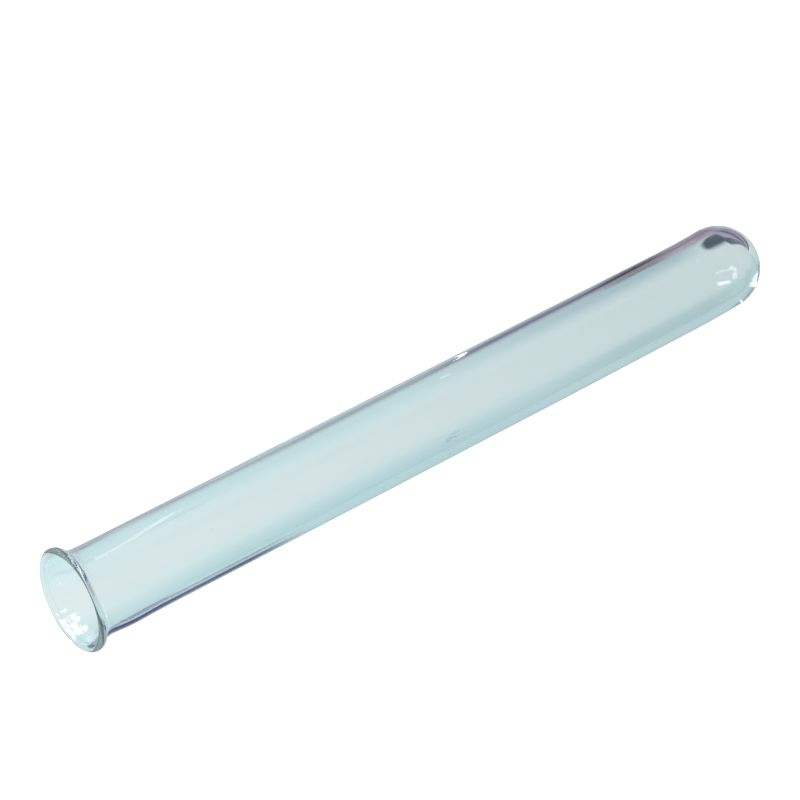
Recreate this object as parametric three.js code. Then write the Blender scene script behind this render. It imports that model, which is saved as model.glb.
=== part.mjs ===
// A rimmed laboratory test tube, blown from one length of glass tubing: a straight cylindrical
// body, a hemispherical closed bottom and a mouth flared out to a fire-polished bead.
// It lies on its side on the plane z = 0, touching it with the bead and with the start of the
// round bottom, mouth towards -X and bottom towards +X. Millimetres, +Z up.
import * as THREE from 'three';

// Driving dimensions, in millimetres.
const LENGTH = 180; // over the bead and the round bottom
const BODY_RADIUS = 9; // outside of the cylindrical body
const WALL = 1.0; // wall of the body
const BOTTOM_WALL = 1.3; // wall at the pole of the round bottom
const RIM_RADIUS = 10.9; // outside of the bead
const BEAD_RADIUS = 0.7; // roundness of the lip
const LIP_LAND = 0.4; // width of the flat ring at the very front of the bead
const NECK_ARC = 4.5; // concave outside curve from body to bead
const THROAT_ARC = 5.5; // convex inside curve from bore to bead

// Fineness of the facets.
const SIDES = 48; // around the axis
const DOME_STEPS = 12; // along each quarter circle of the round bottom
const BODY_STEPS = 6; // along the straight body and the bore
const FLARE_STEPS = 7; // along the neck and throat arcs
const BEAD_STEP = Math.PI / 9; // largest turn between two points of the bead

// The profile is drawn in two coordinates: t, the distance from the mouth along the axis,
// and r, the distance from the axis.
const boreRadius = BODY_RADIUS - WALL;

// The bead is a circle in profile, its front trimmed to the land, which lies at t = 0.
const beadR = RIM_RADIUS - BEAD_RADIUS;
const beadT = Math.sqrt(BEAD_RADIUS ** 2 - (LIP_LAND / 2) ** 2);
const landAngle = Math.asin(LIP_LAND / 2 / BEAD_RADIUS);

// The neck arc leaves the body tangentially and touches the bead circle from outside.
const neckR = BODY_RADIUS + NECK_ARC;
const neckT = beadT + Math.sqrt((NECK_ARC + BEAD_RADIUS) ** 2 - (neckR - beadR) ** 2);
const neckAngle = Math.atan2(neckR - beadR, neckT - beadT);

// The throat arc leaves the bore tangentially and runs on into the bead circle inside it.
const throatR = boreRadius + THROAT_ARC;
const throatT = beadT + Math.sqrt((THROAT_ARC - BEAD_RADIUS) ** 2 - (throatR - beadR) ** 2);
const throatAngle = Math.PI + Math.atan2(throatR - beadR, throatT - beadT);

const domeT = LENGTH - BODY_RADIUS;
const innerDomeT = LENGTH - BOTTOM_WALL - boreRadius;

// Points of an arc after its first one. Angles run from the +t direction towards +r.
function arc(centreT, centreR, radius, from, to, steps) {
  const points = [];
  for (let i = 1; i <= steps; i++) {
    const angle = from + ((to - from) * i) / steps;
    points.push([centreT + radius * Math.cos(angle), centreR + radius * Math.sin(angle)]);
  }
  return points;
}

// Points of a straight run parallel to the axis, after its first one.
function run(fromT, toT, radius, steps) {
  const points = [];
  for (let i = 1; i <= steps; i++) {
    points.push([fromT + ((toT - fromT) * i) / steps, radius]);
  }
  return points;
}

function beadArc(from, to) {
  const steps = Math.ceil(Math.abs(to - from) / BEAD_STEP);
  return arc(beadT, beadR, BEAD_RADIUS, from, to, steps);
}

// From the inside pole of the bottom, along the bore to the mouth, over the bead and back
// along the outside.
function tubeProfile() {
  const quarter = Math.PI / 2;
  const outerDome = arc(domeT, 0, BODY_RADIUS, quarter, 0, DOME_STEPS);
  outerDome.pop(); // the pole is added exactly on the axis below
  return [
    [LENGTH - BOTTOM_WALL, 0],
    ...arc(innerDomeT, 0, boreRadius, 0, quarter, DOME_STEPS),
    ...run(innerDomeT, throatT, boreRadius, BODY_STEPS),
    ...arc(throatT, throatR, THROAT_ARC, -quarter, throatAngle - 2 * Math.PI, FLARE_STEPS),
    ...beadArc(throatAngle, Math.PI + landAngle),
    [0, beadR + LIP_LAND / 2],
    ...beadArc(Math.PI - landAngle, neckAngle),
    ...arc(neckT, neckR, NECK_ARC, neckAngle - Math.PI, -quarter, FLARE_STEPS),
    ...run(neckT, domeT, BODY_RADIUS, BODY_STEPS),
    ...outerDome,
    [LENGTH, 0],
  ];
}

// A flat side, not an edge, faces down, so that the tube rests as steadily as a real one.
function tubeGeometry() {
  const points = tubeProfile().map(([t, r]) => new THREE.Vector2(r, t));
  return new THREE.LatheGeometry(points, SIDES, Math.PI / SIDES);
}

const glass = new THREE.MeshStandardMaterial({
  color: 0xcfe3e3,
  roughness: 0.05,
  metalness: 0,
  transparent: true,
  opacity: 0.35,
});

const glassTube = new THREE.Mesh(tubeGeometry(), glass);
glassTube.name = 'glass_tube';
glassTube.rotation.z = -Math.PI / 2; // the lathe's axis, +Y, turns to +X

// The wider bead lifts the mouth, so the axis falls slightly towards the bottom. The angle is
// the slope of the line that touches both the bead and the sphere of the round bottom.
const span = Math.hypot(domeT - beadT, beadR);
const lean = Math.atan2(beadR, domeT - beadT) - Math.asin((BODY_RADIUS - BEAD_RADIUS) / span);

const testTube = new THREE.Group();
testTube.add(glassTube);
testTube.rotation.y = lean;

// The origin is under the middle of the tube, on the surface it lies on.
testTube.updateMatrixWorld(true);
const box = new THREE.Box3().setFromObject(testTube, true);
testTube.position.set(-(box.min.x + box.max.x) / 2, 0, -box.min.z);

export default testTube;
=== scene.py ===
"""A rimmed glass test tube lying on a pale floor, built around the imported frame."""

import math

import bpy
import numpy as np
from mathutils import Matrix, Vector


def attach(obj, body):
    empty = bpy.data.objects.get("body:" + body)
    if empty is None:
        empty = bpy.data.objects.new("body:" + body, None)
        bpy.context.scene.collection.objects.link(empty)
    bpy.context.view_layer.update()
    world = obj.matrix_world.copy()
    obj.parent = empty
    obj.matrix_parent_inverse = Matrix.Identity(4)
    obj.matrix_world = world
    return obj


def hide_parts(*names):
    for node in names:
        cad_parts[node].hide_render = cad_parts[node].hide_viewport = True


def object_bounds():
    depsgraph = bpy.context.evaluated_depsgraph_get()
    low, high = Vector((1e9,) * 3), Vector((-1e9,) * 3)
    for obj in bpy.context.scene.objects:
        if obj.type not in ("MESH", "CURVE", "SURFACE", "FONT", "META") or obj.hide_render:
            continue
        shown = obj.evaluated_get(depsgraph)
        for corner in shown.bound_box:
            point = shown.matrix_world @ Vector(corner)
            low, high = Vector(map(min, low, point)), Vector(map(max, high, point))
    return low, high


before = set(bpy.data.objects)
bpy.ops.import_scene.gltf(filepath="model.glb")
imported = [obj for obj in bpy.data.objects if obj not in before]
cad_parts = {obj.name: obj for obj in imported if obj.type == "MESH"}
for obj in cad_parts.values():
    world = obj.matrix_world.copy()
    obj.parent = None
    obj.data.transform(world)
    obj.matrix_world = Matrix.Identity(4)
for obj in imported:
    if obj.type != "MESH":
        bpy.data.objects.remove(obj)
cad_lo, cad_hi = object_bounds()

MM = 0.001
QUARTER_TURN = math.pi / 2

# The tube's own dimensions, in millimetres, as the CAD part has them.
LENGTH = 180.0
BODY_RADIUS = 9.0
WALL = 1.0
BOTTOM_WALL = 1.3
RIM_RADIUS = 10.9
CAD_BEAD = 0.7
DOME_START = LENGTH - BODY_RADIUS

# The lip in the photo is a little fuller than the CAD part's.
BEAD_RADIUS = 0.8
BEAD_SWELL = 0.66  # how far along the wall the bead's extra thickness reaches
NECK_RADIUS = 6.5  # of the wall's middle line, where it turns out to the lip

# What hand work leaves on the glass. Lengths are in millimetres and angles in radians round the
# tube. A pair (from, to) is where something fades in from nothing to full, measured from the mouth.
LIP_FADE = (12.0, 0.0)
LIP_LEAN_Y = 0.0526
LIP_LEAN_Z = -0.0148
LIP_FORWARD = 0.45
LIP_OFF_Y = 0.15
LIP_OFF_Z = 0.2
LIP_WAVES = ((0.035, 3, 0.7), (0.02, 8, 2.1), (0.012, 13, 4.0))  # height, number round, start
BORE_SIDE = 0.775  # the side that the bore lies nearer to, from +y towards +z
BORE_OFF = 0.5  # how much nearer it lies there, near the mouth
BORE_OFF_FADES = ((3.0, 18.0), (60.0, 0.0))
BORE_WAVES = (  # height, number round, start, length along
    (0.012, 3, 0.0, 60.0), (0.008, 7, 1.3, 140.0), (0.006, 2, -QUARTER_TURN, 9.0))
BORE_WAVES_FADE = (4.8, 10.8)
OVAL = 0.14  # how far the body is out of round, on the side away from BORE_SIDE
OVAL_FADES = ((5.0, 13.0), (165.0, 120.0))
NECK_SWELL = 0.2  # how much fuller the neck is on that same side
NECK_SWELL_AT = 9.0
NECK_SWELL_SPREAD = 4.0
TIP_FADE = (158.0, DOME_START)
TIP_SHIFT = (-0.15, 0.1, 0.42)

# How finely the mesh follows the shape.
SIDES = 224
FLARE_STEPS = 60
FLARE_CROWDING = 1.5  # above 1, the steps crowd towards the bead
BEAD_STEPS = 40
STRAIGHT_STEPS = 80
DOME_STEPS = 48


# ---------------------------------------------------------------- tube mesh

def arc(centre_t, centre_r, radius, start, end, steps):
    """Points (t, r) of an arc: t runs along the axis from the mouth, r is the radius."""
    angle = np.linspace(start, end, steps + 1)
    return np.stack([centre_t + radius * np.cos(angle), centre_r + radius * np.sin(angle)], 1)


def straight(start_t, end_t, r):
    """Points (t, r) of a stretch parallel to the axis."""
    return np.stack([np.linspace(start_t, end_t, STRAIGHT_STEPS + 1), np.full(STRAIGHT_STEPS + 1, r)], 1)


def fade(t, start, end):
    """0 at start and 1 at end, straight between them and flat outside."""
    return np.clip((t - start) / (end - start), 0, 1)


def tube_profile():
    """The wall's outline from the inner pole of the bottom to the mouth and back outside.

    Returns its points (t, r) and how many of them lie on the inside.
    """
    bore = BODY_RADIUS - WALL
    half = WALL / 2
    turn_r = bore + half + NECK_RADIUS
    flare = math.acos((turn_r - RIM_RADIUS + BEAD_RADIUS) / NECK_RADIUS)
    turn_t = BEAD_RADIUS + NECK_RADIUS * math.sin(flare)
    # The wall's middle line, from the bead's centre to where the body runs straight.
    angle = flare * (1 - np.linspace(0, 1, FLARE_STEPS + 1) ** FLARE_CROWDING)
    normal = np.stack([np.sin(angle), np.cos(angle)], 1)
    middle = np.array([turn_t, turn_r]) - NECK_RADIUS * normal
    along = NECK_RADIUS * (flare - angle)
    thick = half + (BEAD_RADIUS - half) * np.exp(-(along / BEAD_SWELL) ** 2)
    bead = arc(BEAD_RADIUS, RIM_RADIUS - BEAD_RADIUS, BEAD_RADIUS,
               3 * QUARTER_TURN - flare, QUARTER_TURN - flare, BEAD_STEPS)
    inner_dome_start = LENGTH - BOTTOM_WALL - bore
    inner = np.concatenate([
        arc(inner_dome_start, 0, bore, 0, QUARTER_TURN, DOME_STEPS),
        straight(inner_dome_start, turn_t, bore)[1:],
        (middle - thick[:, None] * normal)[::-1][1:-1],
    ])
    outer = np.concatenate([
        (middle + thick[:, None] * normal)[1:],
        straight(turn_t, DOME_START, BODY_RADIUS)[1:],
        arc(DOME_START, 0, BODY_RADIUS, QUARTER_TURN, 0, DOME_STEPS)[1:],
    ])
    return np.concatenate([inner, bead, outer]), len(inner)


def bore_waver(t, phi):
    """The bore's departures from round, which drawing the tube leaves in its wall."""
    waves = sum(height * np.cos(number * phi + start + t / length)
                for height, number, start, length in BORE_WAVES)
    off_centre = BORE_OFF * np.clip(np.cos(phi - BORE_SIDE), 0, 1) ** 2
    for start, end in BORE_OFF_FADES:
        off_centre = off_centre * fade(t, start, end)
    return waves * fade(t, *BORE_WAVES_FADE) + off_centre


def outline_swell(t, phi):
    """How much fuller the whole wall is on the side away from BORE_SIDE."""
    oval = OVAL
    for start, end in OVAL_FADES:
        oval = oval * fade(t, start, end)
    neck = NECK_SWELL * np.exp(-((t - NECK_SWELL_AT) / NECK_SWELL_SPREAD) ** 2)
    return np.clip(-np.cos(phi - BORE_SIDE), 0, 1) ** 2 * (oval + neck)


def tube_points(profile, inner_count):
    """The profile turned about its axis, ring by ring, then the inner and the outer pole."""
    rings = profile[1:-1]
    turn = np.arange(SIDES) * 2 * math.pi / SIDES
    t = np.repeat(rings[:, :1], SIDES, 1)
    r = np.repeat(rings[:, 1:], SIDES, 1)
    phi = np.repeat(turn[None], len(rings), 0)
    is_inner = (np.arange(1, len(rings) + 1) < inner_count)[:, None]
    r = r + np.where(is_inner, bore_waver(t, phi), 0) + outline_swell(t, phi)
    near_lip = fade(t, *LIP_FADE) ** 2
    waves = near_lip * sum(height * np.cos(number * phi + start) for height, number, start in LIP_WAVES)
    y = (r + waves) * np.cos(phi)
    z = (r + waves) * np.sin(phi)
    t = t + near_lip * (LIP_LEAN_Y * y + LIP_LEAN_Z * z - LIP_FORWARD)
    y = y + near_lip * LIP_OFF_Y
    z = z + near_lip * LIP_OFF_Z
    poles = [[profile[0, 0], 0, 0], [profile[-1, 0], 0, 0]]
    points = np.concatenate([np.stack([t, y, z], -1).reshape(-1, 3), poles])
    near_tip = fade(points[:, :1], *TIP_FADE) ** 2
    return points + near_tip * np.array(TIP_SHIFT)


def tube_faces(ring_count):
    """Four-sided faces between the rings and a fan of triangles at each pole."""
    last_ring = (ring_count - 1) * SIDES
    inner_pole = ring_count * SIDES
    outer_pole = inner_pole + 1
    faces = []
    for ring in range(0, last_ring, SIDES):
        after = ring + SIDES
        for side in range(SIDES):
            beside = (side + 1) % SIDES
            faces.append((ring + side, ring + beside, after + beside, after + side))
    for side in range(SIDES):
        beside = (side + 1) % SIDES
        faces.append((inner_pole, beside, side))
        faces.append((outer_pole, last_ring + side, last_ring + beside))
    return faces


def lay_down(mesh):
    """Scales the mesh to metres and lays it on its bead and round bottom, as the CAD part lies."""
    # The bead lifts the mouth: the axis follows the line that touches both bead and bottom.
    bead_r = RIM_RADIUS - CAD_BEAD
    reach = DOME_START - CAD_BEAD
    lean = math.atan2(bead_r, reach) - math.asin((BODY_RADIUS - CAD_BEAD) / math.hypot(reach, bead_r))
    mesh.transform(Matrix.Rotation(lean, 4, "Y") @ Matrix.Scale(MM, 4))
    mouth = Vector((cad_hi.x - (DOME_START * math.cos(lean) + BODY_RADIUS) * MM, 0,
                    cad_lo.z + (DOME_START * math.sin(lean) + BODY_RADIUS) * MM))
    mesh.transform(Matrix.Translation(mouth))


def new_object(name, points, faces, material):
    mesh = bpy.data.meshes.new(name)
    mesh.from_pydata(points, [], faces)
    mesh.materials.append(material)
    obj = bpy.data.objects.new(name, mesh)
    bpy.context.scene.collection.objects.link(obj)
    return obj


def glass_tube(material):
    profile, inner_count = tube_profile()
    faces = tube_faces(len(profile) - 2)
    tube = new_object("glass_test_tube", tube_points(profile, inner_count).tolist(), faces, material)
    tube.data.polygons.foreach_set("use_smooth", [True] * len(faces))
    tube.data.update()
    lay_down(tube.data)
    return tube


# ---------------------------------------------------------------- shader nodes

MIX_FACTOR, MIX_A, MIX_B, MIX_RESULT = 0, 6, 7, 2  # the Mix node's sockets when it mixes colours


def math_node(tree, operation, first, second):
    """The result of a Math node on two sockets or numbers."""
    node = tree.nodes.new("ShaderNodeMath")
    node.operation = operation
    for socket, value in zip(node.inputs, (first, second)):
        if isinstance(value, (int, float)):
            socket.default_value = value
        else:
            tree.links.new(value, socket)
    return node.outputs[0]


def times(tree, first, *others):
    """The product of sockets or numbers."""
    for other in others:
        first = math_node(tree, "MULTIPLY", first, other)
    return first


def vector_node(tree, operation, vector, other=(0, 0, 0)):
    """A Vector Math node's outputs: "Vector", or "Value" where the result is one number."""
    node = tree.nodes.new("ShaderNodeVectorMath")
    node.operation = operation
    tree.links.new(vector, node.inputs[0])
    node.inputs[1].default_value = other
    return node.outputs


def ramp(tree, value, low, high, out_low=0.0, out_high=1.0):
    """Smooth from out_low at low to out_high at high; low may be the larger of the two."""
    node = tree.nodes.new("ShaderNodeMapRange")
    node.interpolation_type = "SMOOTHSTEP"
    tree.links.new(value, node.inputs["Value"])
    node.inputs["From Min"].default_value = low
    node.inputs["From Max"].default_value = high
    node.inputs["To Min"].default_value = out_low
    node.inputs["To Max"].default_value = out_high
    return node.outputs[0]


def blend(tree, factor, first, second, mode="MIX"):
    """The first colour where factor is 0 and the second, or both multiplied, where it is 1.

    A colour is a socket or (red, green, blue).
    """
    node = tree.nodes.new("ShaderNodeMix")
    node.data_type = "RGBA"
    node.blend_type = mode
    tree.links.new(factor, node.inputs[MIX_FACTOR])
    for socket, value in ((node.inputs[MIX_A], first), (node.inputs[MIX_B], second)):
        if isinstance(value, tuple):
            socket.default_value = (*value, 1)
        else:
            tree.links.new(value, socket)
    return node.outputs[MIX_RESULT]


def noise(tree, place, scale, detail=2.0, along=1.0):
    """Noise from 0 to 1; below 1, along draws it out along x."""
    mapping = tree.nodes.new("ShaderNodeMapping")
    mapping.inputs["Scale"].default_value = (along, 1, 1)
    tree.links.new(place, mapping.inputs["Vector"])
    texture = tree.nodes.new("ShaderNodeTexNoise")
    texture.inputs["Scale"].default_value = scale
    texture.inputs["Detail"].default_value = detail
    tree.links.new(mapping.outputs[0], texture.inputs["Vector"])
    return texture.outputs["Fac"]


def world_position(tree):
    return tree.nodes.new("ShaderNodeNewGeometry").outputs["Position"]


def split(tree, vector):
    """A vector's x, y and z sockets."""
    node = tree.nodes.new("ShaderNodeSeparateXYZ")
    tree.links.new(vector, node.inputs[0])
    return node.outputs


def position(tree):
    """World position in millimetres, as x, y and z sockets."""
    return split(tree, vector_node(tree, "MULTIPLY", world_position(tree), (1 / MM,) * 3)["Vector"])


# ---------------------------------------------------------------- glass

GLASS_INDEX = 1.5
CLEAN_TINT = (0.98, 0.995, 0.995)
MARK_TINT = (0.45, 0.47, 0.5)
# How clean the glass stays in the worst of each kind of mark, from 0 to 1.
LINES_CLEAN = 0.975
SPECKS_CLEAN = 0.62
DARK_PATCH_CLEAN = 0.6
LINES_PER_METRE = 420.0
SPECKS_PER_METRE = 95.0
SPECK_EDGE = (0.02, 0.035)  # in spacings of the specks
DARK_PATCH_AT = (-0.0009, -0.0088, 0.0108)  # metres
DARK_PATCH_SIZE = (0.0032, 0.0020, 0.0011)
DARK_PATCH_EDGE = (0.8, 1.1)  # in patch sizes from its middle, plus what the grain adds
DARK_PATCH_GRAIN = 0.9
DARK_PATCH_GRAINS_PER_METRE = 1500.0
RIPPLES_PER_METRE = 260.0
RIPPLE_STRENGTH = 0.25
RIPPLE_HEIGHT = 0.03 * MM
# Light caught in the wall for a long way takes on the glass's own grey-green.
LOSS = 6.0  # per metre of glass
LOSS_COLOUR = (0.0, 0.12, 0.08, 1)
GLOW_COLOUR = (0.25, 0.33, 0.325, 1)


def draw_lines(tree, local):
    """Faint lines along the tube."""
    lines = noise(tree, local, LINES_PER_METRE, along=0.02)
    return ramp(tree, lines, 0.3, 0.7, LINES_CLEAN, 1.0)


def specks(tree, local):
    """A little dust."""
    cells = tree.nodes.new("ShaderNodeTexVoronoi")
    cells.inputs["Scale"].default_value = SPECKS_PER_METRE
    tree.links.new(local, cells.inputs["Vector"])
    return ramp(tree, cells.outputs["Distance"], *SPECK_EDGE, SPECKS_CLEAN, 1.0)


def dark_patch(tree, local):
    """A small darker patch with a broken edge on the front of the wall, half way along."""
    offset = vector_node(tree, "SUBTRACT", world_position(tree), DARK_PATCH_AT)["Vector"]
    spread = vector_node(tree, "DIVIDE", offset, DARK_PATCH_SIZE)["Vector"]
    grains = noise(tree, local, DARK_PATCH_GRAINS_PER_METRE, detail=3.0, along=0.5)
    grain = ramp(tree, grains, 0.42, 0.58, 0.0, DARK_PATCH_GRAIN)
    distance = math_node(tree, "ADD", vector_node(tree, "LENGTH", spread)["Value"], grain)
    return ramp(tree, distance, *DARK_PATCH_EDGE, DARK_PATCH_CLEAN, 1.0)


def uneven_surface(tree, local):
    """The normal of a surface that isn't quite flat."""
    bump = tree.nodes.new("ShaderNodeBump")
    bump.inputs["Strength"].default_value = RIPPLE_STRENGTH
    bump.inputs["Distance"].default_value = RIPPLE_HEIGHT
    ripples = noise(tree, local, RIPPLES_PER_METRE, detail=3.0, along=0.35)
    tree.links.new(ripples, bump.inputs["Height"])
    return bump.outputs[0]


def wall_volume(tree):
    """Weak absorption, and an equally weak glow for the light that many bounces would bring back."""
    absorb = tree.nodes.new("ShaderNodeVolumeAbsorption")
    absorb.inputs["Color"].default_value = LOSS_COLOUR
    absorb.inputs["Density"].default_value = LOSS
    glow = tree.nodes.new("ShaderNodeEmission")
    glow.inputs["Color"].default_value = GLOW_COLOUR
    glow.inputs["Strength"].default_value = LOSS
    both = tree.nodes.new("ShaderNodeAddShader")
    tree.links.new(absorb.outputs[0], both.inputs[0])
    tree.links.new(glow.outputs[0], both.inputs[1])
    return both.outputs[0]


def clear_glass():
    material = bpy.data.materials.new("clear_glass")
    material.use_nodes = True
    tree = material.node_tree
    surface = tree.nodes["Principled BSDF"]
    surface.inputs["Roughness"].default_value = 0.0
    surface.inputs["IOR"].default_value = GLASS_INDEX
    surface.inputs["Transmission Weight"].default_value = 1.0
    local = tree.nodes.new("ShaderNodeTexCoord").outputs["Object"]
    clean = times(tree, draw_lines(tree, local), specks(tree, local), dark_patch(tree, local))
    tint = blend(tree, ramp(tree, clean, 0, 1), MARK_TINT, CLEAN_TINT)
    tree.links.new(tint, surface.inputs["Base Color"])
    tree.links.new(uneven_surface(tree, local), surface.inputs["Normal"])
    tree.links.new(wall_volume(tree), tree.nodes["Material Output"].inputs["Volume"])
    return material


tube = glass_tube(clear_glass())
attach(tube, "root")
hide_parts("glass_tube")


# ---------------------------------------------------------------- stage

# Places on the stage are in millimetres: x runs along the tube, y across it and away from the
# viewer, z up.
FLOOR_Z = -0.1
FLOOR_REACH = 6000.0
BACKDROP_Z = -1000.0
WHITE_STRENGTH = 1.15
QUAD = [(0, 1, 2, 3)]


def emitter(name, strength=1.0):
    """A material that only gives white light, and its node tree and emission node."""
    material = bpy.data.materials.new(name)
    material.use_nodes = True
    tree = material.node_tree
    tree.nodes.clear()
    out = tree.nodes.new("ShaderNodeOutputMaterial")
    glow = tree.nodes.new("ShaderNodeEmission")
    glow.inputs["Color"].default_value = (1, 1, 1, 1)
    glow.inputs["Strength"].default_value = strength
    tree.links.new(glow.outputs[0], out.inputs[0])
    return material, tree, glow


def stage_mesh(name, corners, faces, material, camera=False):
    """A stage surface, seen either by the camera itself or only through and in the glass."""
    obj = new_object(name, [[c * MM for c in corner] for corner in corners], faces, material)
    obj.visible_camera = camera
    obj.visible_glossy = not camera
    obj.visible_transmission = not camera
    obj.visible_diffuse = not camera
    obj.visible_shadow = False
    return obj


def square(z):
    """The corners of a level square as wide as the floor."""
    reach = FLOOR_REACH
    return [(-reach, -reach, z), (reach, -reach, z), (reach, reach, z), (-reach, reach, z)]


# What the camera sees behind the tube: white everywhere.
white = emitter("floor_white", WHITE_STRENGTH)[0]
stage_mesh("floor", square(FLOOR_Z), QUAD, white, camera=True)
sides_and_top = [(0, 1, 5, 4), (1, 2, 6, 5), (2, 3, 7, 6), (3, 0, 4, 7), (4, 5, 6, 7)]
stage_mesh("backdrop", square(BACKDROP_Z) + square(FLOOR_REACH), sides_and_top, white, camera=True)

# ------------------------------------------- the sheet, as the glass sees it

# Bright by the mouth and dimmer towards the bottom of the tube.
SHEET_MOUTH = (0.755, 0.89, 0.895)
SHEET_BOTTOM = (0.625, 0.73, 0.735)
SHEET_FADE = (-110, 120)

# Besides "x" and "y" the zones use two slanting places: "sight" is the x where a line that slants
# back much as the view does passes the tube, and "tip" is the same curved round the round bottom.
SIGHT_SLOPE = 0.6
TIP_CURVE = 0.12
TIP_Y = 20.5

# Further back the sheet is covered by a dark colour, more thickly in some stretches than others.
FAR_COLOUR = (0.11, 0.058, 0.16)
FAR_FADE = (28, 60)
FAR_COVER = 0.45
FAR_COVER_STEPS = ((-72, -50, -0.22), (-50, -30, 0.09), (0, 22, 0.42), (50, 64, 0.22))  # from, to, change

# Painted light and painted shade that multiply the sheet's colour, and dark things and painted
# shade that cover it. Each has its colour and its fades: a place, where the zone starts there and
# where it is full.
SHEET_LIGHT_AND_SHADE = {
    # Painted light: a painted caustic, the bright line that the tube throws on the floor behind it.
    "painted caustic behind": ((1.04, 1.0, 0.99), (("y", 5, 8), ("y", 15, 12), ("x", 60, -20))),
    # Painted shade: the floor darker in front of that line and behind it, and towards the round bottom, and
    # a painted contact shadow where the tube touches.
    "front": ((0.78, 0.90, 0.92), (("y", 5.5, -1.5),)),
    "middle of the front": ((0.90, 0.955, 0.965), (("y", 5.5, 0.5), ("x", -75, -50), ("x", 45, 15))),
    "painted contact shadow": ((0.85, 0.89, 0.88), (("y", 3.2, 0.8), ("y", -4, -1), ("x", 20, 60))),
    "back": ((0.82, 0.94, 0.97), (("y", 15, 26),)),
    "back by the bottom": ((0.66, 0.70, 0.75), (("y", 14, 24), ("x", 10, 80), ("x", 97, 85))),
}
DARK_THINGS_AND_SHADE = {
    "rose by the bottom": ((0.31, 0.215, 0.30), (("sight", 65, 78), ("y", 21, 30))),
    "black round the tip": ((0.008, 0.018, 0.06), (("tip", 81.2, 83.6), ("y", 15.5, 18.2), ("y", 28, 23))),
    # Painted shade: the navy line and the indigo patch are the tube's shadow on the floor near the mouth.
    "painted navy shade in front": ((0.02, 0.02, 0.11), (("y", -8, -6.2), ("y", -2.9, -4.2), ("x", -32, -50))),
    "painted indigo shade by the neck": ((0.015, 0.005, 0.14),
                           (("y", -7.8, -6.6), ("y", -1.8, -3.2), ("x", -62, -74), ("x", -88, -84))),
    "black at the back": ((0.025, 0.018, 0.03), (("sight", 48, 62), ("sight", 76, 68), ("y", 24.5, 31))),
}


def sheet_light_and_shade():
    """The sheet's colour: tinted near the tube, with painted light and painted shade, and dark further
    back.
    """
    material, tree, glow = emitter("sheet_light_and_shade")
    x, y, _ = position(tree)
    sight = math_node(tree, "SUBTRACT", x, times(tree, y, SIGHT_SLOPE))
    from_tip = math_node(tree, "SUBTRACT", y, TIP_Y)
    tip = math_node(tree, "SUBTRACT", sight, times(tree, from_tip, from_tip, TIP_CURVE))
    places = {"x": x, "y": y, "sight": sight, "tip": tip}

    def zone(fades):
        return times(tree, *(ramp(tree, places[place], start, full) for place, start, full in fades))

    colour = blend(tree, ramp(tree, x, *SHEET_FADE), SHEET_MOUTH, SHEET_BOTTOM)
    for shade, fades in SHEET_LIGHT_AND_SHADE.values():
        colour = blend(tree, zone(fades), colour, shade, "MULTIPLY")
    cover = FAR_COVER
    for start, full, change in FAR_COVER_STEPS:
        cover = math_node(tree, "ADD", times(tree, ramp(tree, sight, start, full), change), cover)
    colour = blend(tree, times(tree, ramp(tree, y, *FAR_FADE), cover), colour, FAR_COLOUR)
    for dark, fades in DARK_THINGS_AND_SHADE.values():
        colour = blend(tree, zone(fades), colour, dark)
    tree.links.new(colour, glow.inputs["Color"])
    return material


sheet = stage_mesh("sheet", square(FLOOR_Z), QUAD, sheet_light_and_shade())
sheet.visible_glossy = False

# ------------------------------------------------ lights, seen only in the glass

MOUTH_LIGHT_X = (-330, -28)
MOUTH_LIGHT_Y = (-45, 150)
MOUTH_LIGHT_Z = 150
MOUTH_LIGHT_STRENGTH = 9.0
MOUTH_LIGHT_RIM = 0.15  # the share of its width over which it fades out at each side
MOUTH_LIGHT_PATCHES = 17.0  # per metre

# Small bright cards that show as reflections: their corners, their strength, and whether they also
# show through the glass.
CARDS = {
    "softbox": ([(-766, -1330, 2000), (-2304, -967, 2000), (-2304, -721, 2000), (-766, -1090, 2000)],
                4.0, True),
    "second_softbox": ([(198, 143, 2000), (-88, -189, 2000), (-1201, 653, 2000), (-915, 985, 2000)],
                       6.0, True),
    "caustic": ([(92, -18, 0.3), (105, -18, 0.3), (105, -7, 0.3), (92, -7, 0.3)], 3.5, False),
    "lamp": ([(172.8, 260, -35), (176.0, 260, -35), (174.4, 260, 55), (171.2, 260, 55)], 5.0, False),
    "lamp_high": ([(106.7, 100, 148), (109.7, 100, 148), (121.6, 128, 152), (118.6, 128, 152)],
                  2.5, False),
    "strip": ([(-18, 46, 150), (-11, 43, 150), (40, 136, 150), (33, 139, 150)], 2.6, False),
}


def mouth_light_look():
    """Light in broken patches, clear between them and over the card's rim."""
    material, tree, glow = emitter("mouth_light_look")
    patches = noise(tree, world_position(tree), MOUTH_LIGHT_PATCHES, detail=3.0)
    mask = ramp(tree, patches, 0.52, 0.575)
    for place, (low, high) in zip(position(tree), (MOUTH_LIGHT_X, MOUTH_LIGHT_Y)):
        rim = MOUTH_LIGHT_RIM * (high - low)
        mask = times(tree, mask, ramp(tree, place, low, low + rim), ramp(tree, place, high, high - rim))
    tree.links.new(times(tree, mask, MOUTH_LIGHT_STRENGTH), glow.inputs["Strength"])
    clear = tree.nodes.new("ShaderNodeBsdfTransparent")
    mix = tree.nodes.new("ShaderNodeMixShader")
    tree.links.new(mask, mix.inputs[0])
    tree.links.new(clear.outputs[0], mix.inputs[1])
    tree.links.new(glow.outputs[0], mix.inputs[2])
    tree.links.new(mix.outputs[0], tree.nodes["Material Output"].inputs[0])
    return material


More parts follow.
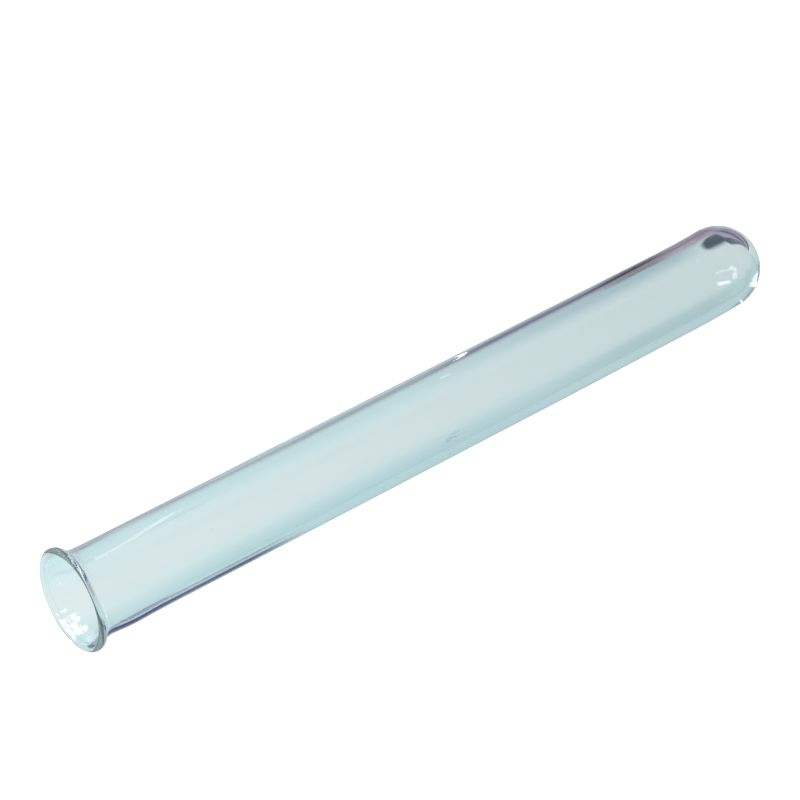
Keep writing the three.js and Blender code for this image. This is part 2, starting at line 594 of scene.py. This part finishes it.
(left, right), (front, back) = MOUTH_LIGHT_X, MOUTH_LIGHT_Y
mouth_light_outline = ((left, front), (right, front), (right, back), (left, back))
stage_mesh("mouth_light", [(x, y, MOUTH_LIGHT_Z) for x, y in mouth_light_outline], QUAD, mouth_light_look())
for name, (corners, strength, shows_through) in CARDS.items():
    card = stage_mesh(name, corners, QUAD, emitter(name + "_look", strength)[0])
    card.visible_transmission = shows_through

# ---------------------------------------------------------------- room

ROOM_LIGHT = (0.38, 0.415, 0.45)
# Heights between which the things on the horizon fade in, from above and from below.
HORIZON_ABOVE = (0.35, 0.10)
HORIZON_BELOW = (-0.1, 0.0)
# Each thing: the direction it stands in, how squarely a ray has to point there for the thing to
# start and to be full, its colour, and whether it stands only on the horizon.
ROOM_THINGS = {
    "grey card": ((0.6, 0.8, 0), 0.80, 0.92, (0.25, 0.22, 0.28), True),
    "indigo card": ((0.91, 0.41, 0), 0.93, 0.97, (0.08, 0.07, 0.22), True),
    "window": ((-0.05, 0.90, 0.43), 0.90, 0.96, (0.9, 0.95, 0.95), False),
}


def room():
    """The soft light all round, and the things in it that the glass reflects and refracts."""
    world = bpy.data.worlds.new("studio")
    world.use_nodes = True
    tree = world.node_tree
    direction = tree.nodes.new("ShaderNodeTexCoord").outputs["Generated"]
    height = split(tree, direction)["Z"]
    horizon = times(tree, ramp(tree, height, *HORIZON_ABOVE), ramp(tree, height, *HORIZON_BELOW))
    colour = ROOM_LIGHT
    for towards, start, full, thing_colour, on_horizon in ROOM_THINGS.values():
        seen = ramp(tree, vector_node(tree, "DOT_PRODUCT", direction, towards)["Value"], start, full)
        if on_horizon:
            seen = times(tree, horizon, seen)
        colour = blend(tree, seen, colour, thing_colour)
    tree.links.new(colour, tree.nodes["Background"].inputs["Color"])
    return world


scene = bpy.context.scene
scene.world = room()

# ---------------------------------------------------------------- camera

# Angles in degrees, lengths in millimetres.
AZIMUTH = -40.57
ELEVATION = 37.85
DISTANCE = 861.2
AIM_HEIGHT = 9.88
TURN_LEFT = 0.384218  # from the aim, so that the tube stands in the frame where the photo has it
TURN_UP = 0.251147
SENSOR = 36.0
LENS = 191.3085


def photo_camera():
    data = bpy.data.cameras.new("camera")
    data.sensor_width = SENSOR
    data.lens = LENS
    data.clip_start = 0.01
    data.clip_end = 50
    camera = bpy.data.objects.new("camera", data)
    azimuth, elevation = math.radians(AZIMUTH), math.radians(ELEVATION)
    back = Vector((math.sin(azimuth) * math.cos(elevation),
                   -math.cos(azimuth) * math.cos(elevation), math.sin(elevation)))
    camera.location = Vector((0, 0, AIM_HEIGHT * MM)) + back * (DISTANCE * MM)
    camera.rotation_mode = "QUATERNION"
    camera.rotation_quaternion = (
        (-back).to_track_quat("-Z", "Y")
        @ Matrix.Rotation(math.radians(TURN_LEFT), 3, "Y").to_quaternion()
        @ Matrix.Rotation(math.radians(TURN_UP), 3, "X").to_quaternion())
    scene.collection.objects.link(camera)
    return camera


scene.camera = photo_camera()
scene.view_settings.view_transform = "Standard"
# Light leaves the thin wall only after many bounces.
scene.cycles.max_bounces = 64
scene.cycles.transmission_bounces = 64
scene.cycles.glossy_bounces = 64
